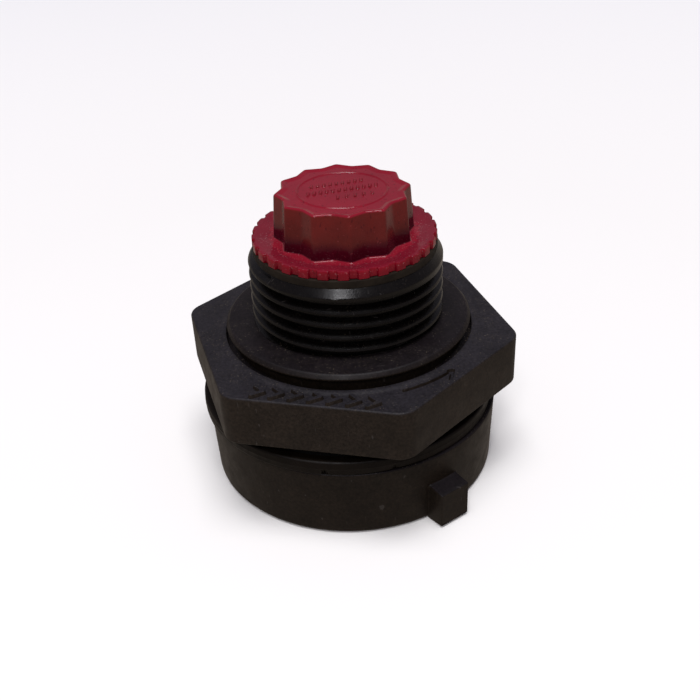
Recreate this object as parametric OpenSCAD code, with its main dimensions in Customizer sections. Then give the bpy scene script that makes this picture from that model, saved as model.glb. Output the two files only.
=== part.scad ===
// Seacock valve: a plastic skin fitting for a boat's hull, closed by a screw plug.
// Z is the axis of the threads, the outboard face of the collar lies on Z = 0,
// and the spigot points up. Angles are measured about Z from the +X axis.

/* [Collar] */
// Radius of the collar at its top edge
collar_top_r = 20.8; // [20.5:0.1:21.5]
// Radius of the collar just above its bottom edge
collar_base_r = 20.4; // [20:0.1:20.8]
// Height of the collar
collar_h = 10.4; // [9:0.1:12]
// Rounding of the collar's bottom edge
collar_edge_r = 0.7; // [0.3:0.1:1.2]

/* [Locating lug] */
// Angle of the lug about the axis
lug_angle = -55.2; // [-90:1:90]
// Distance from the axis to the lug's outer face
lug_reach = 23.1; // [22:0.1:25]
// Width of the lug
lug_w = 5.0; // [3:0.1:8]
// Height of the lug
lug_h = 5.9; // [3:0.1:8]

/* [Barrel thread] */
// Outer radius of the barrel thread
barrel_r = 18.0; // [17.8:0.05:18.1]
// Root radius of the barrel thread
barrel_root_r = 17.0; // [16.9:0.05:17.1]
// Pitch of the barrel thread
barrel_pitch = 2.0; // [1.8:0.1:2.2]

/* [Spigot thread] */
// Outer radius of the three-quarter inch pipe thread
spigot_r = 13.22; // [13.1:0.01:13.3]
// Root radius of the spigot thread
spigot_root_r = 12.06; // [12:0.01:12.2]
// Pitch of the spigot thread
spigot_pitch = 1.814; // [1.75:0.001:1.9]
// Height of the spigot's top above the collar's bottom face
spigot_top = 33.25; // [32:0.05:34]

/* [Boss] */
// Radius of the round boss at the foot of the spigot
boss_r = 17.05; // [16.8:0.05:17.1]
// Height of the boss's top face
boss_top = 23.3; // [23:0.1:24]

/* [Lock nut] */
// Distance across the nut's flats
nut_af = 41.5; // [40:0.1:43]
// Thickness of the nut
nut_h = 7.25; // [6:0.05:8]
// Rounding of the nut's six corners
nut_corner_r = 3.0; // [1.5:0.1:4]
// Angle of the flat that faces forward
nut_angle = -103.8; // [-130:0.1:-70]

/* [Seals and washers] */
// Outer radius of the hull gasket
gasket_r = 20.9; // [20:0.1:21.5]
// Thickness of the hull gasket
gasket_h = 2.1; // [1.5:0.1:3]
// Sideways shift of the loosely lying hull gasket
gasket_shift = -0.57; // [-0.6:0.01:0.6]
// Thickness of the slip washer
washer_h = 1.45; // [1:0.05:2]
// Outer radius of the slip washer
washer_r = 19.5; // [19:0.1:20]
// Thickness of the gasket under the plug's flange
plug_gasket_h = 1.1; // [0.8:0.1:1.5]
// Outer radius of the gasket under the plug's flange
plug_gasket_r = 12.55; // [12:0.05:13]

/* [Screw plug] */
// Outer radius of the serrated flange
flange_r = 12.43; // [12:0.01:12.8]
// Thickness of the serrated flange
flange_h = 1.5; // [1.2:0.1:2]
// Number of teeth round the flange
flange_teeth = 30; // [20:1:36]
// Width of the gaps between the teeth
gap_w = 1.08; // [0.6:0.02:1.4]
// Depth of the gaps between the teeth
gap_depth = 0.55; // [0.3:0.05:0.8]
// Angle of one of the gaps
gap_angle = -85.8; // [-100:0.1:-70]
// Radius over the knob's points
knob_r = 9.45; // [9:0.05:9.6]
// Height of the knob above the flange
knob_h = 5.55; // [5:0.05:6.5]
// Angle of one of the knob's points
knob_angle = -85.5; // [-100:0.1:-70]
// Outer radius of the plug's own thread
plug_r = 10.0; // [9.9:0.05:10.1]
// Root radius of the plug's own thread
plug_root_r = 9.2; // [9.1:0.05:9.3]
// Pitch of the plug's own thread
plug_pitch = 1.5; // [1.25:0.05:1.75]

/* [Non-return valve] */
// Radius of the chamber under the seat
chamber_r = 13.45; // [13:0.05:13.6]
// Radius of the way through the seat
seat_way_r = 7.5; // [6:0.1:8]
// Radius of the valve's stem
stem_r = 1.5; // [1.2:0.1:2]
// Number of the spring's turns
spring_turns = 3.25; // [3:0.25:4]

/* [Hidden] */
$fn = 96;
seg = 24;                   // straight pieces in one turn of the spring
eps = 0.01;
play = 0.08;                // radial gap between a thread's two halves

// Heights of the stack above the collar
washer_z = collar_h + gasket_h;
nut_z = washer_z + washer_h;
nut_top = nut_z + nut_h;
flange_z = spigot_top + plug_gasket_h;
knob_z = flange_z + flange_h;

// The barrel: a neck under the gasket, the thread, a relief groove and the boss
barrel_crest_z = 13.2;      // lower edge of the first crest
barrel_crests = 4;
barrel_top = 20.6;
relief_r = 16.2;
boss_z = 22.5;
boss_edge_r = 0.8;

// The spigot
spigot_chamfer = 0.8;
spigot_chamfer_h = 1.05;
spigot_crest_z = 24.51;     // lower edge of the first crest
spigot_crests = 5;
last_crest_z = spigot_crest_z + (spigot_crests - 1) * spigot_pitch;

// The lip round the top of the nut's bore, and the arrow beside it
nut_bore_r = barrel_root_r + 0.25;
nut_thread_h = 6.6;
lip_r = 18.2;
lip_h = 0.45;
arrow_r = 18.9;
arrow_w = 0.35;
arrow_depth = 0.25;
arrow_from = -70;
arrow_to = -46;
barb_len = 1.6;

// The plug below its flange
stem_top_r = 9.1;
plug_thread_top = spigot_top - 0.6;
plug_thread_z = 26.5;
plug_crests = 4;
nose_z = 23.6;
nose_r = 8.9;
ring_z = 25.05;             // middle of the plug's O-ring
ring_wire_r = 0.8;
ring_mid_r = 8.45;
core_r = 6.6;
core_top = 38.6;
seal_bore_r = 9.3;

// The valve's cartridge, from the mouth upwards
mouth_r = 14.5;
clip_z = 3.2;
clip_h = 1.0;
clip_groove_r = 15.3;
stem_bottom = 3.3;
stem_clip_z = 3.6;
guide_z = clip_z + clip_h + 0.05;
guide_h = 1.5;
guide_top = guide_z + guide_h;
seat_z = 14.0;
seat_top = 16.0;
disc_z = 11.6;
disc_top = 13.2;
disc_r = 9.5;
hub_r = 3.4;
hub_top = 8.4;
bush_r = 2.3;
spring_r = 4.6;
wire_r = 0.4;
cup_h = 0.4;

// Outline of the crests of a thread, drawn as level rings, from the bottom upwards.
// Each crest is listed by its four corners; z0 is the lower edge of the first crest.
function crests(outer, root, pitch, count, z0) =
    [for (k = [0:count - 1])
        let (z = z0 + k * pitch)
        each [[root, z - 0.29 * pitch], [outer, z], [outer, z + 0.22 * pitch],
              [root, z + 0.51 * pitch]]];

// Closed tube of cross-section sec, a list of [radius, height] points, wound round Z
module coil(sec, pitch, z0, turns) {
    n = round(turns * seg);
    m = len(sec);
    points = [for (i = [0:n]) for (s = sec)
        let (a = i * 360 / seg)
        [s[0] * cos(a), s[0] * sin(a), z0 + s[1] + pitch * i / seg]];
    sides = [for (i = [0:n - 1]) for (j = [0:m - 1])
        let (a = i * m + j, b = i * m + (j + 1) % m)
        each [[a, b + m, b], [a, a + m, b + m]]];
    caps = [for (j = [1:m - 2]) each [[0, j, j + 1], [n * m, n * m + j + 1, n * m + j]]];
    polyhedron(points, concat(sides, caps));
}

module tube(outer, inner, h) {
    difference() {
        cylinder(r = outer, h = h);
        translate([0, 0, -eps]) cylinder(r = inner, h = h + 2 * eps);
    }
}

// Outline of the body, turned about the axis
module body_profile() {
    rotate_extrude()
        polygon(concat(
            [[0, 0]],
            [for (a = [-90:15:0])
                [collar_base_r - collar_edge_r * (1 - cos(a)), collar_edge_r * (1 + sin(a))]],
            [[collar_top_r, collar_h], [barrel_root_r, collar_h]],
            crests(barrel_r, barrel_root_r, barrel_pitch, barrel_crests, barrel_crest_z),
            [[barrel_root_r, barrel_top], [relief_r, barrel_top], [relief_r, boss_z],
             [boss_r, boss_z]],
            [for (a = [0:15:90])
                [boss_r - boss_edge_r * (1 - cos(a)), boss_top - boss_edge_r * (1 - sin(a))]],
            [[spigot_root_r, boss_top]],
            crests(spigot_r, spigot_root_r, spigot_pitch, spigot_crests - 1, spigot_crest_z),
            [[spigot_root_r, last_crest_z - 0.29 * spigot_pitch], [spigot_r, last_crest_z],
             [spigot_r, spigot_top - spigot_chamfer_h],
             [spigot_r - spigot_chamfer, spigot_top], [0, spigot_top]]));
}

module body_bores() {
    translate([0, 0, -eps]) cylinder(r = mouth_r, h = guide_top + eps);
    translate([0, 0, clip_z]) cylinder(r = clip_groove_r, h = clip_h);
    cylinder(r = chamber_r, h = seat_top);
    cylinder(r = seal_bore_r, h = plug_thread_z);
    translate([0, 0, plug_thread_z - eps]) cylinder(r = plug_r + play, h = spigot_top);
}

module locating_lug() {
    rotate([0, 0, lug_angle])
        translate([collar_base_r - 3, -lug_w / 2, 0])
            cube([lug_reach - collar_base_r + 3, lug_w, lug_h]);
}

// Moulded body: collar with its lug, barrel, boss and spigot
module valve_body() {
    color("#26262a")
    difference() {
        union() {
            body_profile();
            locating_lug();
        }
        body_bores();
    }
}

module hull_gasket() {
    color("#1d1d1f")
    translate([gasket_shift, 0, collar_h])
        tube(gasket_r, barrel_r + 0.75, gasket_h);
}

module slip_washer() {
    color("#0e0e0f")
    translate([0, 0, washer_z]) tube(washer_r, barrel_r + play, washer_h);
}

module hexagon_with_round_corners(h) {
    corner_x = nut_af / 2 / cos(30) - nut_corner_r / cos(30);
    linear_extrude(h)
        union() {
            for (k = [0:5]) {
                rotate(60 * k) translate([corner_x, 0]) circle(r = nut_corner_r);
            }
            for (k = [0:2]) {
                rotate(60 * k + 30) square([nut_af, corner_x], center = true);
            }
        }
}

module tighten_arrow() {
    rotate([0, 0, arrow_from])
        rotate_extrude(angle = arrow_to - arrow_from)
            translate([arrow_r - arrow_w / 2, -arrow_depth]) square([arrow_w, 1]);
    rotate([0, 0, arrow_to]) translate([arrow_r, 0, 0])
        for (s = [-1, 1]) {
            rotate([0, 0, s * 30]) translate([-arrow_w / 2, -barb_len, -arrow_depth])
                cube([arrow_w, barb_len, 1]);
        }
}

// Left-hand hexagon nut that clamps the hull against the collar
module lock_nut() {
    color("#2b2b30")
    difference() {
        union() {
            translate([0, 0, nut_z]) rotate([0, 0, nut_angle + 30])
                hexagon_with_round_corners(nut_h);
            translate([0, 0, nut_top - 1]) cylinder(r = lip_r, h = 1 + lip_h);
        }
        translate([0, 0, nut_z - eps]) cylinder(r = nut_bore_r, h = nut_h + 2);
        translate([0, 0, nut_z - eps]) cylinder(r = barrel_r + play, h = nut_thread_h);
        translate([0, 0, nut_top]) tighten_arrow();
    }
}

module flange_gaps() {
    for (k = [0:flange_teeth - 1]) {
        rotate([0, 0, gap_angle + k * 360 / flange_teeth])
            translate([flange_r - gap_depth, -gap_w / 2, -eps])
                cube([2, gap_w, flange_h + 2 * eps]);
    }
}

// Red screw plug: knob, flange, thread and nose, cored out from below
module screw_plug() {
    color("#a3142a")
    difference() {
        union() {
            for (k = [0, 1]) {
                translate([0, 0, knob_z - eps]) rotate([0, 0, knob_angle + 30 * k])
                    cylinder(r = knob_r, h = knob_h + eps, $fn = 6);
            }
            translate([0, 0, flange_z])
                difference() {
                    cylinder(r = flange_r, h = flange_h);
                    flange_gaps();
                }
            translate([0, 0, plug_thread_top - eps])
                cylinder(r = stem_top_r, h = flange_z - plug_thread_top + 2 * eps);
            rotate_extrude() polygon(concat(
                [[0, plug_thread_z], [plug_root_r, plug_thread_z]],
                crests(plug_r, plug_root_r, plug_pitch, plug_crests, plug_thread_z + 0.5),
                [[plug_root_r, plug_thread_top], [0, plug_thread_top]]));
            translate([0, 0, nose_z]) cylinder(r = nose_r, h = plug_thread_z - nose_z + eps);
        }
        translate([0, 0, nose_z - eps]) cylinder(r = core_r, h = core_top - nose_z);
        translate([0, 0, ring_z]) rotate_extrude()
            translate([ring_mid_r - 0.85, -0.85]) square([3, 1.7]);
    }
}

module plug_gasket() {
    color("#55544a")
    translate([0, 0, spigot_top]) tube(plug_gasket_r, plug_r + 0.15, plug_gasket_h);
}

module o_ring(mid_r, wire) {
    rotate_extrude() translate([mid_r, 0]) circle(r = wire, $fn = 24);
}

module plug_o_ring() {
    color("#161616")
    translate([0, 0, ring_z]) o_ring(ring_mid_r, ring_wire_r);
}

// Pressed-in seat with a groove for its O-ring
module seat_ring() {
    color("#d8d8d2")
    translate([0, 0, seat_z])
        difference() {
            tube(chamber_r, seat_way_r, seat_top - seat_z);
            translate([0, 0, 0.5]) tube(chamber_r + 1, chamber_r - 0.9, 1.0);
        }
}

module seat_o_ring() {
    color("#161616")
    translate([0, 0, seat_z + 1.0]) o_ring(chamber_r - 0.45, 0.42);
}

module poppet_disc() {
    color("#e8e4d8")
    difference() {
        union() {
            translate([0, 0, disc_z]) cylinder(r = disc_r, h = disc_top - disc_z);
            translate([0, 0, disc_z]) cylinder(r = 5.9, h = seat_z + 0.5 - disc_z);
        }
        translate([0, 0, disc_z - eps]) cylinder(r = stem_r, h = 4);
    }
}

module poppet_seal() {
    color("#161616")
    translate([0, 0, disc_top]) tube(9.3, 5.95, seat_z - disc_top);
}

// Stem with a head on top and a groove for its clip
module poppet_stem() {
    color("#b9bcc0")
    difference() {
        union() {
            translate([0, 0, stem_bottom]) cylinder(r = stem_r, h = seat_z + 0.6 - stem_bottom);
            translate([0, 0, seat_z + 0.5]) cylinder(r = 2.6, h = 0.7);
        }
        translate([0, 0, stem_clip_z - 0.05]) tube(stem_r + 1, stem_r - 0.4, 0.5);
    }
}

// Coil spring between its cup and the disc, ground flat by the two planes
module poppet_spring() {
    color("#a8abb0")
    translate([0, 0, guide_top + cup_h])
        let (h = disc_z - guide_top - cup_h - 2 * wire_r)
        coil([for (a = [0:45:315]) [spring_r + wire_r * cos(a), wire_r * sin(a)]],
             h / spring_turns, wire_r, spring_turns);
}

module spring_cup() {
    color("#a8abb0")
    translate([0, 0, guide_top]) tube(5.6, hub_r + 0.1, cup_h);
}

// Three-armed guide for the stem
module guide_spider() {
    color("#dedace")
    difference() {
        union() {
            translate([0, 0, guide_z]) tube(mouth_r - 0.05, 11.6, guide_h);
            for (k = [0:2]) {
                rotate([0, 0, 120 * k + 90]) translate([4.5, -1.2, guide_z])
                    cube([8.5, 2.4, guide_h]);
            }
            translate([0, 0, guide_z]) cylinder(r = hub_r, h = hub_top - guide_z);
            translate([0, 0, guide_z]) cylinder(r = 6, h = guide_h);
        }
        translate([0, 0, guide_z - eps]) cylinder(r = bush_r, h = hub_top);
    }
}

module guide_bush() {
    color("#c9a24a")
    translate([0, 0, guide_z]) tube(bush_r, stem_r + 0.05, hub_top - guide_z);
}

// Open clip that snaps into the stem's groove
module stem_clip() {
    color("#9a9da2")
    translate([0, 0, stem_clip_z])
        difference() {
            tube(2.7, stem_r - 0.35, 0.4);
            translate([0, -0.9, -eps]) cube([4, 1.8, 1]);
        }
}

// Internal circlip with its gap and two eyes
module retaining_ring() {
    color("#9a9da2")
    translate([0, 0, clip_z + 0.1])
        difference() {
            union() {
                tube(clip_groove_r - 0.05, 13.6, clip_h - 0.12);
                for (s = [-1, 1]) {
                    rotate([0, 0, 90 + 9 * s]) translate([12.8, 0, 0])
                        cylinder(r = 1.3, h = clip_h - 0.12);
                }
            }
            translate([-0.9, 10, -eps]) cube([1.8, 8, 2]);
            for (s = [-1, 1]) {
                rotate([0, 0, 90 + 9 * s]) translate([12.8, 0, -eps])
                    cylinder(r = 0.6, h = 2);
            }
        }
}

valve_body();
hull_gasket();
slip_washer();
lock_nut();
screw_plug();
plug_gasket();
plug_o_ring();
seat_ring();
seat_o_ring();
poppet_disc();
poppet_seal();
poppet_stem();
poppet_spring();
spring_cup();
guide_spider();
guide_bush();
stem_clip();
retaining_ring();
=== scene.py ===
import math
import bmesh
import bpy
import numpy as np
from mathutils import Matrix, Vector


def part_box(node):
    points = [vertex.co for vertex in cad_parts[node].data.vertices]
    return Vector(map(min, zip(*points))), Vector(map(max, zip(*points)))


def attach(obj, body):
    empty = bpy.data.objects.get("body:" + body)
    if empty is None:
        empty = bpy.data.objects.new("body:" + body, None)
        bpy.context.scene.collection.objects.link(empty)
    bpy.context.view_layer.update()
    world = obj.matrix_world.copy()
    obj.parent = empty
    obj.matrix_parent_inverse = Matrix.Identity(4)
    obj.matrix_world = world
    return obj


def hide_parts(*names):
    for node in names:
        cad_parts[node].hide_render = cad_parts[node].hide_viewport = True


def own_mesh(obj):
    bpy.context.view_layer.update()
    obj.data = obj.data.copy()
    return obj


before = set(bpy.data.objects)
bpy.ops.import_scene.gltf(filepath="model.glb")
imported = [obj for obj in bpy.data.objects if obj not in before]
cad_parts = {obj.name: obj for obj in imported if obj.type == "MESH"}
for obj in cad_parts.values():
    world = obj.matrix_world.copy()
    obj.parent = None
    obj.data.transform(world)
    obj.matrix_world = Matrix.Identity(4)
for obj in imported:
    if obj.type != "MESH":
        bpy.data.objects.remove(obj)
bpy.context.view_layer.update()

# The part's sizes are in millimetres and become metres when a mesh is made. The floor, lights, camera and
# bumps are in metres.
MM = 0.001
TAU = 2 * math.pi
FRONT = math.radians(-90)           # the side of the object that faces the camera
SHARP_ANGLE = math.radians(32)      # edges sharper than this aren't shaded smooth
FINISH = "_finish"                  # ends each material's name, so that it never meets a CAD material's name


# ---------------------------------------------------------------- sizes: some read from the CAD parts, the rest given

def low(node):
    return [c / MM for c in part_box(node)[0]]


def high(node):
    return [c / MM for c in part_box(node)[1]]


COLLAR_TOP = low("hull_gasket")[2]
GASKET_TOP = high("hull_gasket")[2]
NUT_Z = low("lock_nut")[2]
SPIGOT_TOP = high("valve_body")[2]
FLANGE_Z = high("plug_gasket")[2]
PLUG_TOP = high("screw_plug")[2]
PLUG_BOTTOM = low("screw_plug")[2]

MOUTH_R = 14.5                      # the bore's lowest part, with a groove for the retaining ring
MOUTH_TOP = 5.75
CLIP_GROOVE_R = 15.3
CLIP_GROOVE_Z = 3.2
CLIP_GROOVE_TOP = 4.2
CHAMBER_R = 13.45                   # where the poppet moves
CHAMBER_TOP = 16.0
THROAT_R = 9.3
THROAT_TOP = 26.5
PLUG_BORE_R = 10.08
COLLAR_TOP_R = 20.8
COLLAR_BASE_R = 20.4
COLLAR_BASE_EDGE = 0.7
COLLAR_TOP_EDGE = 0.25
BARREL_R = 18.0
BARREL_ROOT_R = 17.0
BARREL_PITCH = 2.0
BARREL_CREST = 13.2
BARREL_TOP = 20.6
RELIEF_R = 16.2
BOSS_R = 17.05
BOSS_Z = 22.5
BOSS_TOP = 23.3
SPIGOT_R = 13.22
SPIGOT_ROOT_R = 12.06
SPIGOT_PITCH = 1.814
SPIGOT_CREST = 27.99
SPIGOT_CHAMFER_R = 0.8
SPIGOT_CHAMFER_H = 1.05
SPIGOT_LANDS = 2                    # crests between SPIGOT_CREST and the last one, where the thread runs out
THREAD_START = math.radians(-50)    # where the last groove begins, from the front
LUG_ANGLE = -55.2
LUG_W = 5.0
LUG_H = 5.9
LUG_REACH = 23.1
NUT_AF = 41.5
NUT_H = 7.25
NUT_CORNER_R = 3.0
NUT_ANGLE = -103.8
NUT_TOP = NUT_Z + NUT_H
NUT_LOW_EDGE = 0.25
NUT_TOP_EDGE = 0.3
NUT_BORE_R = 18.08
NUT_BORE_H = 6.6
LIP_IN_R = 17.25
LIP_R = 18.5
LIP_H = 0.2
ARROW_R = 18.9
ARROW_W = 0.45
ARROW_DEPTH = 0.42
FLANGE_R = 12.43
FLANGE_H = 1.28
FLANGE_DISH = 0.42                  # how much lower the flange is at the knob's foot than at its rim
TEETH = 30
TOOTH_DEPTH = 0.34
KNOB_MARK_H = 0.2
FOOT_R = 0.3                        # rounding where the knob meets the flange
KNOB_BASE_R = 9.5
KNOB_TOP_R = 9.1
KNOB_ANGLE = -85.5
TEETH_ANGLE = -91.8
KNOB_EDGE = 0.34
PLUG_R = 10.0
PLUG_ROOT_R = 9.2
PLUG_PITCH = 1.5
PLUG_CREST = 27.0
PLUG_THREAD_Z = 26.5
PLUG_THREAD_TOP = 32.6
PLUG_CORE_R = 6.6                   # the hollow inside the plug
PLUG_CORE_TOP = 38.6
PLUG_SKIRT_R = 8.9
O_RING_GROOVE_R = 7.6
O_RING_GROOVE_Z = 24.2
O_RING_GROOVE_TOP = 25.9
SPRING_R = 4.6
SPRING_WIRE_R = 0.4
SPRING_STEPS = 40                   # rings of points in a turn
SPRING_SIDES = 14                   # points in a ring
SPRING_TURNS = 2.25                 # turns that work; the closed end turns come on top
SPRING_CLOSED = 0.75


# ---------------------------------------------------------------- mesh helpers

def smooth_clamp(t, soft):
    """t held between 0 and 1, with corners rounded over soft."""
    def soft_start(x):
        return np.where(x < -soft, 0, np.where(x > soft, x, (x + soft) ** 2 / (4 * soft)))

    return soft_start(t) - soft_start(t - 1)


def step(x, width):
    """0 below zero and 1 above, smooth over width."""
    t = np.clip(x / width + 0.5, 0, 1)
    return t * t * (3 - 2 * t)


def wrap(a):
    """Angle a, in radians, brought between -pi and pi."""
    return (a + math.pi) % TAU - math.pi


def arc(centre_r, centre_z, radius, start, end, count):
    """Points of an arc in a profile. Its angles are in degrees, from outwards to upwards."""
    return [(centre_r + radius * math.cos(math.radians(a)),
             centre_z + radius * math.sin(math.radians(a)))
            for a in np.linspace(start, end, count)]


def mesh_object(name, verts, faces, body, material, node_name):
    """Smooth-shaded piece that rides on a body, stands for a CAD node, and takes its material's slot."""
    mesh = bpy.data.meshes.new(name)
    mesh.from_pydata([tuple(v) for v in np.asarray(verts) * MM], [], faces)
    mesh.validate()
    piece = bpy.data.objects.new(name, mesh)
    bpy.context.scene.collection.objects.link(piece)
    weld(mesh)
    mesh.shade_smooth()
    mesh.set_sharp_from_angle(angle=SHARP_ANGLE)
    mesh.materials.append(material)
    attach(piece, body)
    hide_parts(node_name)
    return piece


def second_finish(piece, material, chosen):
    """Another finish on the faces for which chosen(distance from the axis, height) is true."""
    piece.data.materials.append(material)
    for face in piece.data.polygons:
        x, y, z = face.center / MM
        if chosen(math.hypot(x, y), z):
            face.material_index = 1


def weld(mesh):
    """Joins the doubled points where a turn's two ends meet, and turns all faces outwards."""
    bm = bmesh.new()
    bm.from_mesh(mesh)
    bmesh.ops.remove_doubles(bm, verts=bm.verts, dist=1e-7)
    bmesh.ops.dissolve_degenerate(bm, edges=bm.edges, dist=1e-8)
    bmesh.ops.recalc_face_normals(bm, faces=bm.faces)
    bm.to_mesh(mesh)
    bm.free()


def lathe(name, rows, angles, body, material, node_name, shift=(0, 0)):
    """Closed ring-shaped piece from profile rows. Each row is (radius, height), as numbers or arrays over
    angles."""
    n = len(angles)
    cos, sin = np.cos(angles), np.sin(angles)
    verts = np.concatenate([
        np.stack([shift[0] + r * cos, shift[1] + r * sin, z + 0 * cos], 1) for r, z in rows])
    faces = []
    count = len(rows)
    for i in range(count):
        a, b = i * n, (i + 1) % count * n
        faces += [(a + j, a + j + 1, b + j + 1, b + j) for j in range(n - 1)]
    return mesh_object(name, verts, faces, body, material, node_name)


def turn(extra, step_deg=1.0):
    """Angles of one whole turn from the back, both ends included, with extra ones put in."""
    start = FRONT - math.pi
    even = np.radians(np.arange(0, 360 + step_deg / 2, step_deg)) + start
    more = [(a - start) % TAU + start for a in extra]
    return np.unique(np.round(np.concatenate([even, more]), 7))


def thread_radius(z, angles, outer, root, pitch, hand, crest):
    """Radius of a helical thread. crest is the height of a crest's lower edge at the front."""
    phase = np.round((z - crest) / pitch - hand * (angles - FRONT) / TAU, 6) % 1.0
    rising = (phase - 0.71) / 0.29
    falling = (0.51 - phase) / 0.29
    shape = np.where(phase > 0.6, rising, falling)
    crown = 0.06 * np.abs(wrap((phase - 0.11) * TAU) / math.pi / 0.11).clip(0, 1) ** 2
    return root + (outer - root) * (smooth_clamp(shape, 0.16) - crown * (shape > 0.9))


def thread_rows(z_low, z_high, angles, outer, root, pitch, hand, crest, envelope, fine, filled=None):
    """Rows that follow a helical thread between two heights, fine of them in a pitch. envelope(z) is the
    largest radius, and filled(z) the share of the groove that is filled in."""
    rows = []
    first = math.floor((z_low - crest) / pitch) - 1
    last = math.ceil((z_high - crest) / pitch) + 1
    for k in range(first, last):
        for i in range(fine):
            z = crest + (k + i / fine) * pitch + hand * pitch * (angles - FRONT) / TAU
            z = np.clip(z, z_low, z_high)
            r = thread_radius(z, angles, outer, root, pitch, hand, crest)
            if filled:
                r = r + (outer - r) * filled(z)
            rows.append((np.minimum(r, envelope(z)), z))
    return rows


# ---------------------------------------------------------------- materials

def shader(name):
    """New material, with its tree and main shader. A piece's material is named after its slot."""
    material = bpy.data.materials.new(name + FINISH)
    material.use_nodes = True
    tree = material.node_tree
    return material, tree, tree.nodes["Principled BSDF"]


def node(tree, kind, **inputs):
    """New shader node with some of its inputs set."""
    made = tree.nodes.new(kind)
    for key, value in inputs.items():
        made.inputs[key.replace("_", " ")].default_value = value
    return made


def position(tree):
    """Object coordinates, in metres."""
    return tree.nodes.new("ShaderNodeTexCoord").outputs["Object"]


def noise(tree, scale, detail=4.0, rough=0.55):
    made = node(tree, "ShaderNodeTexNoise", Scale=scale, Detail=detail, Roughness=rough)
    tree.links.new(position(tree), made.inputs["Vector"])
    return made.outputs["Fac"]


def ramp(tree, source, stops):
    """Colour that follows source through the stops, each (value, colour)."""
    made = tree.nodes.new("ShaderNodeValToRGB")
    tree.links.new(source, made.inputs["Fac"])
    ramp_stops = made.color_ramp.elements
    while len(ramp_stops) < len(stops):
        ramp_stops.new(0.5)
    for element, (where, colour) in zip(ramp_stops, stops):
        element.position = where
        element.color = (*colour, 1) if len(colour) == 3 else colour
    return made.outputs["Color"]


def grey(v):
    return (v, v, v)


def mix_colour(tree, factor, a, b, mode="MIX"):
    """Colours a and b mixed by factor. Each of the three is a plain value or a node's output."""
    made = tree.nodes.new("ShaderNodeMix")
    made.data_type = "RGBA"
    made.blend_type = mode
    for socket, value in ((made.inputs["Factor"], factor), (made.inputs["A"], a), (made.inputs["B"], b)):
        if isinstance(value, bpy.types.NodeSocket):
            tree.links.new(value, socket)
        elif isinstance(value, tuple):
            socket.default_value = (*value, 1)
        else:
            socket.default_value = value
    return made.outputs["Result"]


def bump(tree, bsdf, layers):
    """Bumps, one after the other, on the shader's normal. Each is (source, height in metres, strength)."""
    last = None
    for source, distance, strength in layers:
        made = node(tree, "ShaderNodeBump", Strength=strength, Distance=distance)
        tree.links.new(source, made.inputs["Height"])
        if last:
            tree.links.new(last, made.inputs["Normal"])
        last = made.outputs["Normal"]
    tree.links.new(last, bsdf.inputs["Normal"])


def up_facing(tree):
    """1 on faces that look straight up, 0 on upright ones."""
    geometry = tree.nodes.new("ShaderNodeNewGeometry")
    split = tree.nodes.new("ShaderNodeSeparateXYZ")
    tree.links.new(geometry.outputs["Normal"], split.inputs[0])
    return split.outputs["Z"]


def product(tree, a, b):
    """A node's output times a number or another node's output."""
    made = tree.nodes.new("ShaderNodeMath")
    made.operation = "MULTIPLY"
    tree.links.new(a, made.inputs[0])
    if isinstance(b, (int, float)):
        made.inputs[1].default_value = b
    else:
        tree.links.new(b, made.inputs[1])
    return made.outputs[0]


RAMP_TOP = 45                       # height at which a ramp over heights ends


def heights(tree, stops):
    """A grey value or colour that depends on the height above the floor: stops are (height, value)."""
    split = tree.nodes.new("ShaderNodeSeparateXYZ")
    tree.links.new(position(tree), split.inputs[0])
    share = product(tree, split.outputs["Z"], 1 / (RAMP_TOP * MM))
    return ramp(tree, share, [(z / RAMP_TOP, v if isinstance(v, tuple) else grey(v)) for z, v in stops])


def scratches(tree, stretch, turned, threshold):
    """Thin straight scuffs, drawn out along one direction."""
    mapping = tree.nodes.new("ShaderNodeMapping")
    mapping.inputs["Scale"].default_value = stretch
    mapping.inputs["Rotation"].default_value = turned
    tree.links.new(position(tree), mapping.inputs["Vector"])
    made = node(tree, "ShaderNodeTexNoise", Scale=1.0, Detail=2.0, Roughness=0.4)
    tree.links.new(mapping.outputs["Vector"], made.inputs["Vector"])
    return ramp(tree, made.outputs["Fac"], [(threshold, grey(0)), (threshold + 0.03, grey(1))])


PALE_SCUFF = (0.09, 0.08, 0.075)
DARK_RED_SCUFF = (0.03, 0.001, 0.004)
PALE_RED_SCUFF = (0.40, 0.07, 0.08)
DUST = (0.26, 0.21, 0.15)
# Pale red dust at the knob's foot, by height: real dust that is also a painted highlight along the rounded
# foot.
RED_DUST_AND_HIGHLIGHT = (0.4, 0.22, 0.22)
FOOT_DUST_AND_HIGHLIGHT = [(34.9, 0.1), (35.14, 0.6), (35.4, 0.5), (35.6, 0.2), (36.2, 0.12), (37.4, 0.03)]


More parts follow.
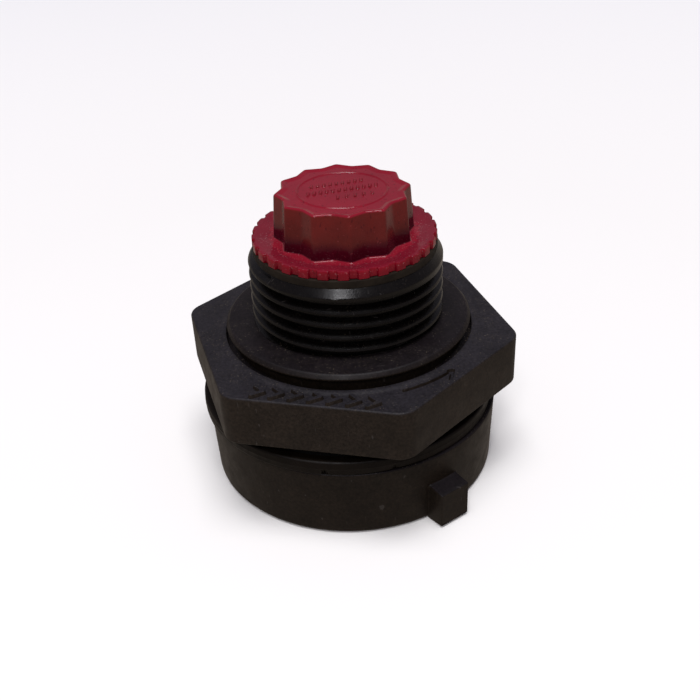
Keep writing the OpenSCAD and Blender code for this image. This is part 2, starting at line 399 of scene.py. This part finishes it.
def black_plastic(name, top, side, rough_low, rough_high, dust, dust_heights, gloss=0.12):
    """Moulded glass-filled plastic: near black, with a fine grain, cloudy gloss, scuffs, and dust on what
    faces up.
    Its colour is painted light, set by which way a face looks: top, a cool grey on faces that look up, is a
    painted reflection of the cool overhead light, and side, a warm brown on upright ones, a painted
    reflection of the floor."""
    material, tree, bsdf = shader(name)
    bsdf.inputs["Specular IOR Level"].default_value = gloss
    # painted light: mixes the painted cool reflection on top faces with the painted warm reflection on
    # upright ones
    facing = ramp(tree, up_facing(tree), [(0.15, grey(0)), (0.9, grey(1))])
    base = mix_colour(tree, facing, side, top)
    clouds = ramp(tree, noise(tree, 260, 6, 0.62), [(0.25, grey(0.7)), (0.75, grey(1.3))])
    base = mix_colour(tree, 1.0, base, clouds, "MULTIPLY")
    grain = ramp(tree, noise(tree, 2600, 3, 0.6), [(0.3, grey(0.62)), (0.7, grey(1.38))])
    base = mix_colour(tree, 1.0, base, grain, "MULTIPLY")
    scuffs = scratches(tree, (5200, 900, 480), (0.4, 0.5, 0.9), 0.735)
    scuffs_too = scratches(tree, (800, 4100, 600), (0.9, 1.2, 0.35), 0.735)
    base = mix_colour(tree, product(tree, scuffs, 0.22), base, PALE_SCUFF)
    base = mix_colour(tree, product(tree, scuffs_too, 0.22), base, PALE_SCUFF)
    specks = ramp(tree, noise(tree, 4300, 2, 0.4), [(0.64, grey(0)), (0.74, grey(1))])
    powder = ramp(tree, noise(tree, 1500, 5, 0.7), [(0.45, grey(0)), (0.85, grey(0.16))])
    patches = ramp(tree, noise(tree, 290, 3), [(0.42, grey(0.08)), (0.72, grey(1))])
    dust_facing = ramp(tree, up_facing(tree), [(0.35, grey(0.12)), (0.95, grey(1))])
    where = product(tree, product(tree, patches, dust_facing), heights(tree, dust_heights))
    dusty = product(tree, product(tree, mix_colour(tree, 1.0, specks, powder, "ADD"), where), dust)
    tree.links.new(mix_colour(tree, dusty, base, DUST), bsdf.inputs["Base Color"])
    roughness = ramp(tree, noise(tree, 480, 6, 0.6), [(0.3, grey(rough_low)), (0.7, grey(rough_high))])
    tree.links.new(roughness, bsdf.inputs["Roughness"])
    bump(tree, bsdf, [(noise(tree, 1900, 4, 0.6), 0.00004, 0.5), (noise(tree, 7000, 2), 0.00002, 0.35),
                      (scuffs, 0.00002, 0.4)])
    return material


def scaled(colour, factor):
    return tuple(factor * c for c in colour)


def red_plastic(upper, side, painted_shade_by_height):
    """Glossy moulded plastic with fine scuffs. upper and side are its colours on faces that look up and on
    upright ones, a split that is painted light. A ramp over heights darkens the upright ones: painted shade,
    and on the knob also a painted reflection of the flange. Dust lies at the knob's foot and also paints a
    highlight there."""
    material, tree, bsdf = shader("red_plastic")
    bsdf.inputs["Specular IOR Level"].default_value = 0.17
    # painted light: faces that look up take upper, and upright ones take side
    upright = ramp(tree, up_facing(tree), [(0.3, grey(1)), (0.7, grey(0))])
    uppers = ramp(tree, noise(tree, 160, 4), [(0.3, scaled(upper, 0.88)), (0.7, scaled(upper, 1.13))])
    sides = ramp(tree, noise(tree, 300, 5), [(0.3, scaled(side, 0.82)), (0.7, scaled(side, 1.18))])
    # painted shade and painted reflection: the upright faces grow darker towards the bottom
    sides = mix_colour(tree, 1.0, sides, heights(tree, painted_shade_by_height), "MULTIPLY")
    base = mix_colour(tree, upright, uppers, sides)
    scuffs = scratches(tree, (3600, 2100, 1300), (0.5, 0.9, 0.5), 0.67)
    scuffs_too = scratches(tree, (1600, 4200, 2400), (0.9, 0.3, 1.2), 0.7)
    base = mix_colour(tree, product(tree, scuffs, 0.45), base, DARK_RED_SCUFF)
    base = mix_colour(tree, product(tree, scuffs_too, 0.14), base, PALE_RED_SCUFF)
    # dust specks at the knob's foot, also a painted highlight along its rounded foot
    specks = ramp(tree, noise(tree, 4800, 2, 0.4), [(0.62, grey(0)), (0.76, grey(1))])
    dusty = product(tree, product(tree, specks, heights(tree, FOOT_DUST_AND_HIGHLIGHT)), 0.7)
    tree.links.new(mix_colour(tree, dusty, base, RED_DUST_AND_HIGHLIGHT), bsdf.inputs["Base Color"])
    roughness = ramp(tree, noise(tree, 620, 6, 0.65), [(0.3, grey(0.1)), (0.7, grey(0.22))])
    tree.links.new(roughness, bsdf.inputs["Roughness"])
    bump(tree, bsdf, [(noise(tree, 620, 4), 0.00005, 0.22), (noise(tree, 4200, 2), 0.00001, 0.2),
                      (scuffs, 0.00002, 0.5)])
    return material


def rubber(name, dark, light, rough):
    material, tree, bsdf = shader(name)
    base = ramp(tree, noise(tree, 500, 4), [(0.3, dark), (0.7, light)])
    tree.links.new(base, bsdf.inputs["Base Color"])
    bsdf.inputs["Specular IOR Level"].default_value = 0.12
    roughness = ramp(tree, noise(tree, 900, 4), [(0.3, grey(rough - 0.08)), (0.7, grey(rough + 0.08))])
    tree.links.new(roughness, bsdf.inputs["Roughness"])
    bump(tree, bsdf, [(noise(tree, 3800, 3), 0.00002, 0.5)])
    return material


def metal(name, dark, light, rough):
    material, tree, bsdf = shader(name)
    base = ramp(tree, noise(tree, 900, 4), [(0.3, dark), (0.7, light)])
    tree.links.new(base, bsdf.inputs["Base Color"])
    bsdf.inputs["Metallic"].default_value = 1.0
    roughness = ramp(tree, noise(tree, 2400, 4), [(0.3, grey(rough - 0.06)), (0.7, grey(rough + 0.1))])
    tree.links.new(roughness, bsdf.inputs["Roughness"])
    bump(tree, bsdf, [(noise(tree, 4200, 2), 0.00001, 0.3)])
    return material


# How much dust lies at each height of the part.
BODY_DUST = [(0.0, 0.1), (10.0, 0.15), (10.6, 0.5), (12.0, 0.1), (20.4, 1.0), (22.4, 1.0), (23.0, 0.3),
             (23.5, 0.4), (34.0, 0.3)]
SPIGOT_DUST = [(23.0, 0.5), (24.0, 0.2), (32.0, 0.1), (33.0, 0.3)]
NUT_DUST = [(13.0, 0.05), (20.9, 0.15), (21.15, 0.8), (21.6, 1.0)]

# Painted shade and reflection on the red plastic's upright faces, by height: the knob's sides darker and more
# purple low down, a painted reflection of the flange, and the flange's teeth darker towards the bottom,
# painted shade.
KNOB_PAINTED_REFLECTION = [(35.1, (0.22, 0.03, 0.6)), (36.7, (0.26, 0.06, 0.6)), (37.7, (0.47, 0.8, 0.8)),
             (41.0, (0.57, 0.8, 0.8))]
FLANGE_PAINTED_SHADE = [(34.0, 0.7), (35.2, 0.85), (35.6, 1.1)]

# The top and side colours are painted light: the cool grey on top faces is a painted reflection of the
# overhead light, and the warm brown on upright faces a painted reflection of the floor.
BODY = black_plastic("body_plastic", top=(0.0060, 0.0044, 0.0052), side=(0.0093, 0.0062, 0.0040),
                     rough_low=0.38, rough_high=0.54, dust=1.0, dust_heights=BODY_DUST)
# The spigot's copy of the body plastic is darker: painted shade, so that the thread's lit flanks stay as
# black as its shaded roots.
SPIGOT = black_plastic("body_plastic", top=(0.0010, 0.0006, 0.0006), side=(0.0024, 0.0016, 0.0012),
                       rough_low=0.23, rough_high=0.32, dust=0.7, dust_heights=SPIGOT_DUST, gloss=0.22)
NUT = black_plastic("nut_plastic", top=(0.0122, 0.0108, 0.0132), side=(0.0140, 0.0096, 0.0064),
                    rough_low=0.42, rough_high=0.58, dust=0.5, dust_heights=NUT_DUST)
WASHER = black_plastic("washer_plastic", top=grey(0.002), side=grey(0.002),
                       rough_low=0.6, rough_high=0.75, dust=0.1, dust_heights=NUT_DUST)
SEAL = rubber("seal_rubber", dark=(0.0024, 0.0013, 0.0006), light=(0.0044, 0.0024, 0.0012), rough=0.5)
GREY = rubber("grey_gasket", dark=(0.0082, 0.0052, 0.0030), light=(0.0150, 0.0104, 0.0062), rough=0.7)
RED = red_plastic(upper=(0.179, 0.0064, 0.0156), side=(0.172, 0.0100, 0.0085), painted_shade_by_height=KNOB_PAINTED_REFLECTION)
# The flange's copy of the red plastic is darker on top: painted shade for the knob's shadow on the flange.
RED_FLANGE_SHADED = red_plastic(upper=(0.135, 0.0056, 0.0142), side=(0.165, 0.002, 0.009), painted_shade_by_height=FLANGE_PAINTED_SHADE)
WHITE = rubber("white_plastic", dark=(0.62, 0.6, 0.53), light=(0.72, 0.7, 0.63), rough=0.4)
STEEL = metal("stainless", dark=(0.45, 0.46, 0.48), light=(0.6, 0.61, 0.63), rough=0.28)
BRONZE = metal("bronze", dark=(0.35, 0.22, 0.08), light=(0.5, 0.34, 0.14), rough=0.42)


# ---------------------------------------------------------------- body

def lug_radius(r, z, angles):
    """Collar radius r with the locating lug's box swelling out of it, its edges and feet rounded."""
    off = wrap(angles - math.radians(LUG_ANGLE))
    reach = LUG_REACH / np.maximum(np.cos(off), 0.5)
    across = np.abs(np.sin(off)) * LUG_REACH
    side = np.where(np.cos(off) > 0, step(LUG_W / 2 - across, 0.5), 0)
    top = step(LUG_H - 0.15 - z, 0.45)
    foot = 0.35 + 0.65 * step(z - 0.15, 0.5)
    gain = (reach - r) * side * top
    return r + gain * np.where(z < 0.5, foot + (1 - foot) * (1 - side * top), 1)


def valve_body():
    near = math.radians(LUG_ANGLE)
    lug_sides = [near + s * math.asin((LUG_W / 2 + d) / LUG_REACH)
                 for s in (-1, 1) for d in np.linspace(-0.35, 0.35, 15)]
    groove_start = [FRONT + THREAD_START + math.radians(d) for d in np.arange(-2, 2.1, 0.4)]
    angles = turn(lug_sides + groove_start, 1.2)
    flat = 0 * angles
    outside = [(16.5, 0.0)]
    edge = arc(COLLAR_BASE_R - COLLAR_BASE_EDGE, COLLAR_BASE_EDGE, COLLAR_BASE_EDGE, -90, 0, 9)
    lug_heights = np.concatenate([np.linspace(1.0, 5.2, 8), np.linspace(5.4, 6.3, 19), [6.8, 8.0, 9.4]])
    for r, z in edge + [(COLLAR_BASE_R, z) for z in lug_heights]:
        slope = COLLAR_BASE_R + (COLLAR_TOP_R - COLLAR_BASE_R) * z / COLLAR_TOP
        outside.append((lug_radius((r - COLLAR_BASE_R) + slope + flat, z + flat, angles), z))
    outside += arc(COLLAR_TOP_R - COLLAR_TOP_EDGE, COLLAR_TOP - COLLAR_TOP_EDGE, COLLAR_TOP_EDGE, 0, 90, 5)
    outside += [(BARREL_ROOT_R, COLLAR_TOP)]

    def worn(z):
        return BARREL_R - 0.2 + 0 * z

    outside += thread_rows(COLLAR_TOP + 1.6, BARREL_TOP - 0.3, angles, BARREL_R, BARREL_ROOT_R, BARREL_PITCH,
                           hand=-1, crest=BARREL_CREST, envelope=worn, fine=10)
    outside += [(RELIEF_R, BARREL_TOP), (RELIEF_R, BOSS_Z)]
    outside += [(BOSS_R - 0.1, BOSS_Z), (BOSS_R, BOSS_Z + 0.1)]
    outside += arc(BOSS_R - 0.2, BOSS_TOP - 0.62, 0.2, 0, 38, 4)
    outside += arc(BOSS_R - 0.69, BOSS_TOP - 0.5, 0.5, 42, 90, 6)
    outside += [(14.5, BOSS_TOP), (13.6, BOSS_TOP)]

    def chamfered(z):
        above = np.clip(z - (SPIGOT_TOP - SPIGOT_CHAMFER_H), 0, SPIGOT_CHAMFER_H)
        return SPIGOT_R - above * SPIGOT_CHAMFER_R / SPIGOT_CHAMFER_H

    around = wrap(angles - FRONT)
    last_land = SPIGOT_CREST + SPIGOT_PITCH * (SPIGOT_LANDS + 0.14 - around / TAU)
    begun = step(around - THREAD_START, 0.05) * step(math.radians(125) - around, 0.7)

    def run_out(z):
        return begun * step(z - last_land, 0.05)

    outside += thread_rows(BOSS_TOP, SPIGOT_TOP, angles, SPIGOT_R, SPIGOT_ROOT_R, SPIGOT_PITCH,
                           hand=-1, crest=SPIGOT_CREST, envelope=chamfered, fine=20, filled=run_out)
    inside = [(PLUG_BORE_R + 0.25, SPIGOT_TOP), (PLUG_BORE_R, SPIGOT_TOP - 0.25), (PLUG_BORE_R, THROAT_TOP),
              (THROAT_R, THROAT_TOP), (THROAT_R, CHAMBER_TOP), (CHAMBER_R, CHAMBER_TOP),
              (CHAMBER_R, MOUTH_TOP), (MOUTH_R, MOUTH_TOP), (MOUTH_R, CLIP_GROOVE_TOP),
              (CLIP_GROOVE_R, CLIP_GROOVE_TOP), (CLIP_GROOVE_R, CLIP_GROOVE_Z), (MOUTH_R, CLIP_GROOVE_Z),
              (MOUTH_R, 0.35), (MOUTH_R + 0.35, 0.0)]
    piece = lathe("valve_body_moulding", outside + inside, angles, "fitting", BODY, "valve_body")
    # painted shade: the spigot's thread takes the darker copy of the body plastic
    second_finish(piece, SPIGOT, lambda r, z: r > 11 and z > BOSS_TOP + 0.02)
    return piece


# ---------------------------------------------------------------- lock nut

def hex_radius(angles, inset):
    """Outline of the nut, its corners rounded, brought in by inset."""
    apothem = NUT_AF / 2 - inset
    corner = NUT_CORNER_R - inset
    centre = (NUT_AF / 2 - NUT_CORNER_R) / math.cos(math.radians(30))
    sixth = math.radians(60)
    off = np.abs((angles - math.radians(NUT_ANGLE + 30) + sixth / 2) % sixth - sixth / 2)
    tangent = math.atan2(corner * 0.5, centre + corner * math.cos(math.radians(30)))
    round_part = centre * np.cos(off) + np.sqrt(np.maximum(corner ** 2 - (centre * np.sin(off)) ** 2, 0))
    return np.where(off < tangent, round_part, apothem / np.cos(sixth / 2 - off))


def stroke(x, y, ax, ay, bx, by, width):
    """1 within a straight stroke from a to b, fading at its edges."""
    dx, dy = bx - ax, by - ay
    t = np.clip(((x - ax) * dx + (y - ay) * dy) / (dx * dx + dy * dy), 0, 1)
    gap = np.hypot(x - ax - t * dx, y - ay - t * dy)
    return step(width / 2 - gap, 0.1)


MARKS = 7                           # chevrons in a row on the nut's top face
MARK_PITCH = 2.5
MARK_H = 0.5
MARK_V = 19.1                       # distance of the row's middle from the axis


def nut_marks(r, angles):
    """Height of the raised direction marks and the sunk arrow on the nut's top face."""
    along = wrap(angles - math.radians(NUT_ANGLE))
    u = r * np.sin(along)
    v = r * np.cos(along) - MARK_V
    height = 0 * r
    for k in range(MARKS):
        x = u - (k - (MARKS - 1) / 2) * MARK_PITCH
        upper = stroke(x, v, -0.7, -1.05, 0.62, 0.0, 0.62)
        lower = stroke(x, v, 0.62, 0.0, -0.7, 1.05, 0.62)
        height = np.maximum(height, MARK_H * np.maximum(upper, lower))
    front = wrap(angles - FRONT)
    shaft_from, shaft_to = math.radians(19.8), math.radians(44)
    x = (front - shaft_to) * ARROW_R
    y = r - ARROW_R
    ends = step(front - shaft_from, 0.01) * step(shaft_to - front, 0.01)
    shaft = step(ARROW_W / 2 - np.abs(y), 0.1) * ends
    barbs = np.maximum(stroke(x, y, 0.1, 0, -1.6, 1.2, 0.42), stroke(x, y, 0.1, 0, -1.3, -1.2, 0.42))
    return height - ARROW_DEPTH * np.maximum(shaft, barbs)


def lock_nut():
    marked_side = [FRONT + math.radians(d) for d in np.arange(-46, 50, 0.25)]
    angles = turn(marked_side)
    rows = [(NUT_BORE_R, NUT_Z), (18.6, NUT_Z)]
    for a in np.linspace(-90, 0, 5):
        inset = NUT_LOW_EDGE - NUT_LOW_EDGE * math.cos(math.radians(a))
        rise = NUT_LOW_EDGE * math.sin(math.radians(a))
        rows.append((hex_radius(angles, inset), NUT_Z + NUT_LOW_EDGE + rise))
    for a in np.linspace(0, 90, 6):
        inset = NUT_TOP_EDGE - NUT_TOP_EDGE * math.cos(math.radians(a))
        rise = NUT_TOP_EDGE * math.sin(math.radians(a))
        rows.append((hex_radius(angles, inset), NUT_TOP - NUT_TOP_EDGE + rise))
    outline = hex_radius(angles, NUT_TOP_EDGE + 0.02)
    for t in np.linspace(0, 1, 76)[1:-1]:
        r = outline + (LIP_R - outline) * t
        rows.append((r, NUT_TOP + nut_marks(r, angles)))
    for t in np.linspace(0, 1, 12)[1:]:
        rows.append((LIP_R - 0.9 * t, NUT_TOP + LIP_H * step(t - 0.5, 1.0)))
    rows += arc(LIP_IN_R + 0.12, NUT_TOP + LIP_H - 0.12, 0.12, 90, 180, 4)
    rows += [(LIP_IN_R, NUT_Z + NUT_BORE_H), (NUT_BORE_R, NUT_Z + NUT_BORE_H)]
    return lathe("lock_nut_moulding", rows, angles, "nut", NUT, "lock_nut")


# ---------------------------------------------------------------- screw plug

def star_radius(angles, points_r, inset=0.0):
    """Outline of two crossed hexagons, its points and valleys slightly rounded."""
    sixth = math.radians(60)
    apothem = points_r * math.cos(sixth / 2) - inset
    outlines = []
    for offset in (0, sixth / 2):
        a = angles - math.radians(KNOB_ANGLE) - offset + sixth / 2
        off = (a % sixth) - sixth / 2
        near = np.cos(np.abs(off) - sixth / 2)
        far = np.cos(np.abs(off) + sixth / 2)
        sharp = 110.0
        outlines.append(apothem / (np.log(np.exp(sharp * near) + np.exp(sharp * far)) / sharp))
    sharp = 14.0
    a, b = outlines
    return np.log(np.exp(sharp * a) + np.exp(sharp * b)) / sharp


def tooth_radius(angles, inset=0.0):
    """Serrated edge of the plug's flange."""
    pitch = TAU / TEETH
    off = np.abs((angles - math.radians(TEETH_ANGLE) + pitch / 2) % pitch - pitch / 2)
    inside = step(off * FLANGE_R - 0.29 * pitch * FLANGE_R, 0.2)
    return FLANGE_R - 0.02 - inset - TOOTH_DEPTH * inside


# Rows of bars: how far up the row is, where its first and last bars are, and how many it has.
KNOB_ROWS = ((2.3, -3.4, 1.2, 5), (0.0, -4.6, 4.6, 12), (-2.3, -3.2, 3.6, 9))
KNOB_RING_R = 5.95


def knob_marks(r, angles):
    """Raised plain marks on the knob: a fine circle and three rows of short bars."""
    x = r * np.cos(angles - FRONT + math.radians(90))
    y = r * np.sin(angles - FRONT + math.radians(90))
    tilt = math.radians(14)
    u = x * math.cos(tilt) + y * math.sin(tilt)
    v = y * math.cos(tilt) - x * math.sin(tilt)
    height = 0.7 * KNOB_MARK_H * step(0.1 - np.abs(r - KNOB_RING_R), 0.14)
    for row_v, first, last, count in KNOB_ROWS:
        for bar_u in np.linspace(first, last, count):
            bar = stroke(u, v, bar_u - 0.12, row_v - 0.4, bar_u + 0.12, row_v + 0.4, 0.34)
            height = np.maximum(height, KNOB_MARK_H * bar)
    return height


def screw_plug():
    pitch = TAU / TEETH
    edges = [math.radians(TEETH_ANGLE) + k * pitch + s * (0.29 * pitch + d / FLANGE_R)
             for k in range(TEETH) for s in (-1, 1) for d in (-0.1, -0.033, 0.033, 0.1)]
    angles = turn(edges, 1.2)
    flat = 0 * angles
    knob_z = FLANGE_Z + FLANGE_H
    rows = [(PLUG_CORE_R, PLUG_BOTTOM), (PLUG_SKIRT_R - 0.3, PLUG_BOTTOM), (PLUG_SKIRT_R, PLUG_BOTTOM + 0.3),
            (PLUG_SKIRT_R, O_RING_GROOVE_Z), (O_RING_GROOVE_R, O_RING_GROOVE_Z),
            (O_RING_GROOVE_R, O_RING_GROOVE_TOP), (PLUG_SKIRT_R, O_RING_GROOVE_TOP),
            (PLUG_SKIRT_R, PLUG_THREAD_Z - 0.2)]

    def tapered(z):
        return PLUG_R - 0.02 - np.clip(PLUG_THREAD_Z + 0.5 - z, 0, 0.5) + 0 * z

    rows += thread_rows(PLUG_THREAD_Z, PLUG_THREAD_TOP, angles, PLUG_R, PLUG_ROOT_R, PLUG_PITCH,
                        hand=1, crest=PLUG_CREST, envelope=tapered, fine=10)
    rows += [(PLUG_ROOT_R - 0.1, PLUG_THREAD_TOP + 0.1), (PLUG_ROOT_R - 0.1, FLANGE_Z), (11.0, FLANGE_Z)]
    rows += [(tooth_radius(angles, 0.1), FLANGE_Z + flat), (tooth_radius(angles), FLANGE_Z + 0.1 + flat),
             (tooth_radius(angles), knob_z - 0.16 + flat), (tooth_radius(angles, 0.05), knob_z - 0.05 + flat),
             (tooth_radius(angles, 0.16), knob_z + flat)]
    foot_z = knob_z - FLANGE_DISH
    foot = star_radius(angles, KNOB_BASE_R) + 2 * FOOT_R
    for t in np.linspace(0, 1, 7)[:-1]:
        rows.append((11.9 + (foot - 11.9) * t, knob_z - FLANGE_DISH * t))
    for a in np.linspace(90, 180, 6):
        out = FOOT_R + FOOT_R * math.cos(math.radians(a))
        rise = FOOT_R - FOOT_R * math.sin(math.radians(a))
        rows.append((star_radius(angles, KNOB_BASE_R) + out, foot_z + rise))
    for a in np.linspace(0, 90, 8):
        inset = KNOB_EDGE - KNOB_EDGE * math.cos(math.radians(a))
        rise = KNOB_EDGE * math.sin(math.radians(a))
        rows.append((star_radius(angles, KNOB_TOP_R, inset), PLUG_TOP - KNOB_EDGE + rise))
    outline = star_radius(angles, KNOB_TOP_R, KNOB_EDGE + 0.02)
    for t in np.linspace(0, 1, 84)[1:]:
        r = outline * (1 - t)
        rows.append((r, PLUG_TOP - KNOB_MARK_H * min(1, 12 * t) + knob_marks(r, angles)))
    core = [(0.0, PLUG_CORE_TOP), (PLUG_CORE_R, PLUG_CORE_TOP)]
    piece = lathe("screw_plug_moulding", rows + core, angles, "plug", RED, "screw_plug")
    # painted shade: the flange takes the darker copy of the red plastic
    second_finish(piece, RED_FLANGE_SHADED, lambda r, z: r > 9.95 and z < knob_z + 0.05)
    return piece


# ---------------------------------------------------------------- seals

# Nicks in the hull gasket's lower edge: the direction in degrees and the depth of each.
GASKET_NICKS = ((-99.8, 0.55), (-74.2, 0.25))


def soft_ring(name, inner, outer, z_low, z_high, edge, body, material, node_name, shift=(0, 0), ripple=0.0,
              seam=0.0, nicks=()):
    """Ring whose outer side is rounded by edge, wavy by ripple, raised by seam at half height, and nicked."""
    angles = turn([math.radians(b + d) for b, _ in nicks for d in np.arange(-3, 3.1, 0.25)])
    wave = ripple * (np.sin(3 * angles + 1) + 0.6 * np.sin(7 * angles) + 0.4 * np.sin(17 * angles + 2))
    torn = 0 * angles
    for nick, depth in nicks:
        off = np.degrees(wrap(angles - math.radians(nick)))
        torn += depth * np.exp(-(off / 1.1) ** 2) * (0.6 + 0.4 * np.sin(7 * off))
    mid = (z_low + z_high) / 2
    rows = [(inner, z_low), (inner, z_high)]
    rows += [(r + wave, z) for r, z in arc(outer - edge, z_high - edge, edge, 90, 0, 7)]
    rows += [(outer + wave, mid + 0.12), (outer + seam + wave, mid), (outer + wave, mid - 0.12)]
    rows += [(r + wave - torn, z) for r, z in arc(outer - edge, z_low + edge, edge, 0, -90, 7)]
    rows.reverse()
    return lathe(name, rows, angles, body, material, node_name, shift)


def hull_gasket():
    centre = (low("hull_gasket")[0] + high("hull_gasket")[0]) / 2
    outer = (high("hull_gasket")[0] - low("hull_gasket")[0]) / 2
    return soft_ring("hull_gasket_rubber", 18.75, outer - 0.06, COLLAR_TOP, GASKET_TOP, 0.35, "fitting", SEAL,
                     "hull_gasket", shift=(centre, 0), ripple=0.02, seam=0.04, nicks=GASKET_NICKS)


def plug_gasket():
    outer = high("plug_gasket")[0]
    return soft_ring("plug_gasket_fibre", 10.15, outer - 0.08, SPIGOT_TOP, FLANGE_Z, 0.12, "plug_seal", GREY,
                     "plug_gasket", ripple=0.03)


# ---------------------------------------------------------------- spring

def poppet_spring():
    """Coil spring with closed ends, as long as the CAD spring."""
    z_low = low("poppet_spring")[2]
    z_high = high("poppet_spring")[2]
    wire = SPRING_WIRE_R
    turns = SPRING_TURNS + 2 * SPRING_CLOSED
    count = round(turns * SPRING_STEPS)
    around = SPRING_SIDES
    share = np.linspace(0, turns, count + 1)
    closed = 2 * wire + 0.03
    pitch = (z_high - z_low - 2 * wire - 2 * SPRING_CLOSED * closed) / SPRING_TURNS
    rise = np.minimum(share, SPRING_CLOSED) * closed
    rise += np.clip(share - SPRING_CLOSED, 0, SPRING_TURNS) * pitch
    rise += np.maximum(share - SPRING_CLOSED - SPRING_TURNS, 0) * closed
    verts = []
    for turn_share, z in zip(share, rise + z_low + wire):
        a = turn_share * TAU
        for b in np.arange(around) / around * TAU:
            r = SPRING_R + wire * math.cos(b)
            verts.append((r * math.cos(a), r * math.sin(a), z + wire * math.sin(b)))
    faces = []
    for i in range(count):
        for j in range(around):
            here, beside = i * around + j, i * around + (j + 1) % around
            faces.append((here, beside, beside + around, here + around))
    faces.append(tuple(range(around)))
    faces.append(tuple(count * around + j for j in reversed(range(around))))
    piece = mesh_object("poppet_spring_coil", verts, faces, "fitting", STEEL, "poppet_spring")
    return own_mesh(piece)


def carried_over():
    """Materials for the pieces that keep their CAD shape."""
    finishes = {"slip_washer": WASHER, "plug_o_ring": SEAL, "seat_ring": WHITE, "seat_o_ring": SEAL,
                "poppet_disc": WHITE, "poppet_seal": SEAL, "poppet_stem": STEEL,
                "spring_cup": STEEL, "guide_spider": WHITE, "guide_bush": BRONZE, "stem_clip": STEEL,
                "retaining_ring": STEEL}
    for name, material in finishes.items():
        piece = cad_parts[name]
        piece.data.materials.clear()
        piece.data.materials.append(material)


# ---------------------------------------------------------------- floor, lights, camera

# The paper's colour by distance from the part in metres, and the surroundings' colour from level to overhead.
PAPER = [(0.1, (0.8, 0.79, 0.76)), (0.45, (0.93, 0.93, 0.92))]
SKY = [(0.0, (0.42, 0.36, 0.31)), (0.3, (0.24, 0.225, 0.26)), (1.0, (0.24, 0.23, 0.28))]
LAMP_COLOUR = (0.975, 0.965, 1.0)


def studio():
    bpy.ops.mesh.primitive_plane_add(size=6, location=(0, 0, 0))
    floor = bpy.context.object
    floor.name = "floor"
    material, tree, bsdf = shader("floor_paper")
    away = tree.nodes.new("ShaderNodeVectorMath")
    away.operation = "LENGTH"
    tree.links.new(position(tree), away.inputs[0])
    shade = ramp(tree, away.outputs["Value"], PAPER)
    tree.links.new(shade, bsdf.inputs["Base Color"])
    bsdf.inputs["Roughness"].default_value = 0.9
    floor.data.materials.append(material)
    floor.visible_glossy = False        # gloss shows the dimmer surroundings and not the white floor
    world = bpy.data.worlds.new("studio")
    bpy.context.scene.world = world
    world.use_nodes = True
    tree = world.node_tree
    split = tree.nodes.new("ShaderNodeSeparateXYZ")
    tree.links.new(tree.nodes.new("ShaderNodeTexCoord").outputs["Generated"], split.inputs[0])
    sky = ramp(tree, split.outputs["Z"], SKY)
    background = tree.nodes["Background"]
    tree.links.new(sky, background.inputs["Color"])
    background.inputs["Strength"].default_value = 1.0


def lamp(name, place, aim, size, power):
    data = bpy.data.lights.new(name, "AREA")
    data.shape = "RECTANGLE"
    data.size, data.size_y = size
    data.energy = power
    data.color = LAMP_COLOUR
    made = bpy.data.objects.new(name, data)
    made.location = place
    made.rotation_euler = (Vector(aim) - Vector(place)).to_track_quat("-Z", "Y").to_euler()
    bpy.context.scene.collection.objects.link(made)


def lights():
    lamp("overhead_softbox", place=(0.0, -0.2, 1.4), aim=(0, 0, 0), size=(0.7, 0.7), power=19.0)
    lamp("front_softbox", place=(-0.08, -0.48, 0.53), aim=(0, 0, 0.03), size=(0.14, 0.1), power=1.4)


SENSOR_WIDTH = 36.0
CAMERA_ELEVATION = math.radians(32.193)
CAMERA_ROLL = math.radians(-2.775)
CAMERA_DISTANCE = 0.13860
CAMERA_AIM = Vector((0, 0, 0.01648))
FOCAL_SHARE = 1.37242               # focal length over the picture's width


def camera():
    data = bpy.data.cameras.new("camera")
    data.sensor_width = SENSOR_WIDTH
    data.lens = SENSOR_WIDTH * FOCAL_SHARE
    data.clip_start = 0.005
    data.clip_end = 20
    made = bpy.data.objects.new("camera", data)
    back = Vector((0, -math.cos(CAMERA_ELEVATION), math.sin(CAMERA_ELEVATION)))
    made.location = CAMERA_AIM + back * CAMERA_DISTANCE
    right = Vector((1, 0, 0))
    up = back.cross(right)
    turned_right = math.cos(CAMERA_ROLL) * right + math.sin(CAMERA_ROLL) * up
    turned_up = back.cross(turned_right)
    axes = Matrix((turned_right, turned_up, back)).transposed()
    made.rotation_euler = axes.to_euler()
    bpy.context.scene.collection.objects.link(made)
    bpy.context.scene.camera = made


bpy.context.scene.view_settings.view_transform = "Standard"
camera()
studio()
lights()
valve_body()
lock_nut()
screw_plug()
hull_gasket()
plug_gasket()
poppet_spring()
carried_over()
